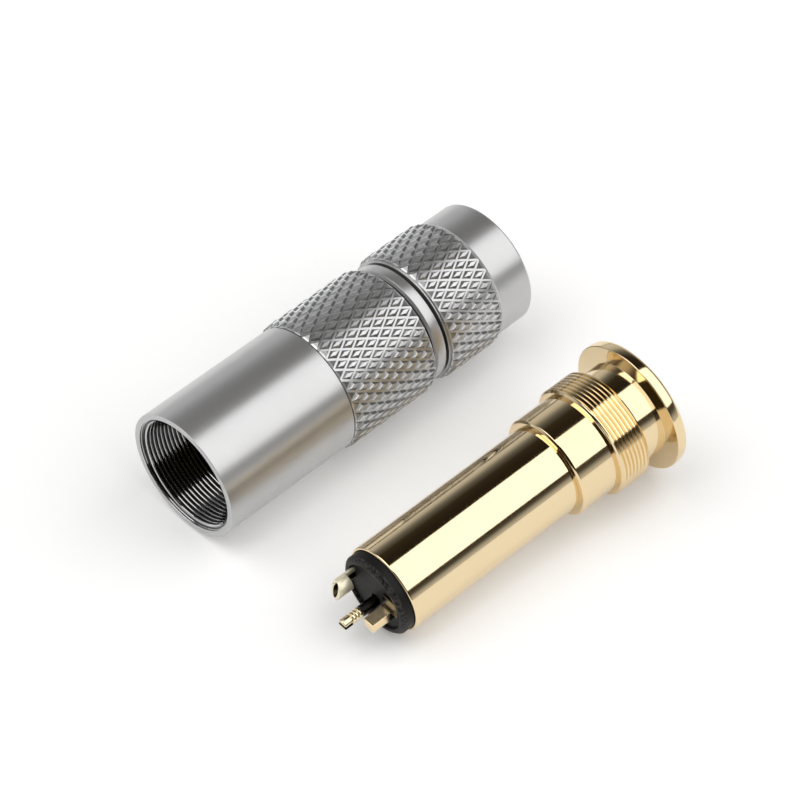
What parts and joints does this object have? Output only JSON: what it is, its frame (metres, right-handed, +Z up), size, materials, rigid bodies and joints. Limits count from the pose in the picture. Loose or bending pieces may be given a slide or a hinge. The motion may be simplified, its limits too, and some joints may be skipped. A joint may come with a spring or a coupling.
{
  "type": "in-line audio jack socket",
  "caption": "In-line stereo audio jack socket taken apart: knurled satin metal shell with tail nut, lying beside its gold-plated socket insert with solder terminals.",
  "frame": {"origin": "on the floor under the middle of the two groups as they lie", "axes": "+X along the shell from its open mouth to its tail nut, +Y from the insert to the shell, +Z up"},
  "size_m": [0.0446, 0.0413, 0.0156],
  "materials": {
    "satin_shell": "satin nickel plate on brass",
    "washer_steel": "plain steel",
    "black_plastic": "moulded, matt black",
    "gold_plate": "polished gold plate on brass",
    "gold_terminal": "gold plate",
    "spring_bronze": "plain spring bronze"
  },
  "bodies": {
    "root": {"barrel": "satin_shell", "tail_nut": "satin_shell", "thrust_washer": "washer_steel", "insulating_liner": "black_plastic", "cable_collet": "black_plastic", "insulator_sleeve": "black_plastic", "contact_block": "black_plastic", "spring_spacer": "black_plastic", "front_bushing": "gold_plate", "housing_tube": "gold_plate", "tip_pin": "gold_terminal", "ring_lug": "gold_terminal", "ground_cup": "gold_terminal", "tip_spring": "spring_bronze", "ring_spring": "spring_bronze", "ground_strip": "spring_bronze"}
  },
  "joints": []
}
